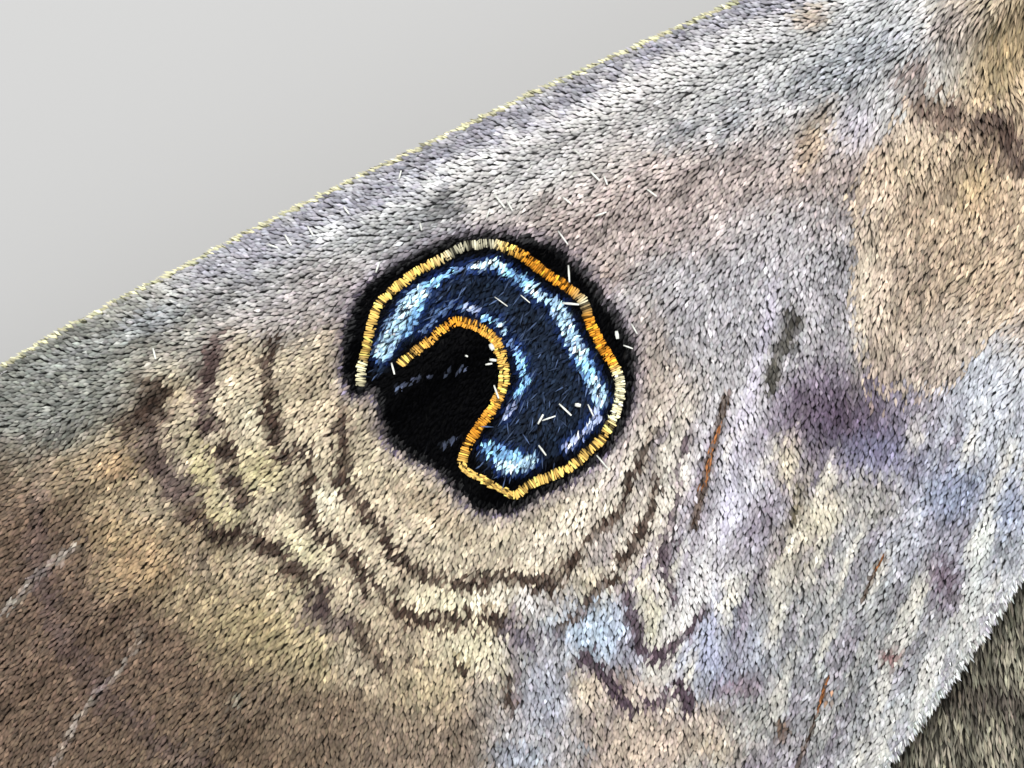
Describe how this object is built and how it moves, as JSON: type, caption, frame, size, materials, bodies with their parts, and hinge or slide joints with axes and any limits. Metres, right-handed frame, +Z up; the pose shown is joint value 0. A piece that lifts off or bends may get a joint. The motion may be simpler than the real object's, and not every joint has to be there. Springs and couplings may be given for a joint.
{
  "type": "moth model",
  "caption": "Life-size still model of a southern old lady moth at rest, wings spread flat with an eyespot on each forewing, standing on its feet.",
  "frame": {"origin": "centre of the model's footprint box, at floor level", "axes": "+X to the moth's right along its wingspan, +Y towards its head, +Z up"},
  "size_m": [0.0888, 0.0554, 0.0106],
  "materials": {
    "body_scales": "short brown fur of hair-like scales",
    "forewing_scales": "matt overlapping scales, grey-brown with a dark blue eyespot",
    "hindwing_scales": "matt overlapping scales, darker brown",
    "eye": "dark glossy compound eye",
    "horn": "satin brown horny skin",
    "leg_scales": "short brown scales"
  },
  "bodies": {
    "root": {"thorax": "body_scales", "abdomen": "body_scales", "head": "body_scales", "tegula_left": "body_scales", "tegula_right": "body_scales", "palp_left": "body_scales", "palp_right": "body_scales", "proboscis": "horn", "eye_left": "eye", "eye_right": "eye", "antenna_left": "horn", "antenna_right": "horn", "forewing_left": "forewing_scales", "forewing_right": "forewing_scales", "hindwing_left": "hindwing_scales", "hindwing_right": "hindwing_scales", "foreleg_left": "leg_scales", "foreleg_right": "leg_scales", "midleg_left": "leg_scales", "midleg_right": "leg_scales", "hindleg_left": "leg_scales", "hindleg_right": "leg_scales"}
  },
  "joints": []
}
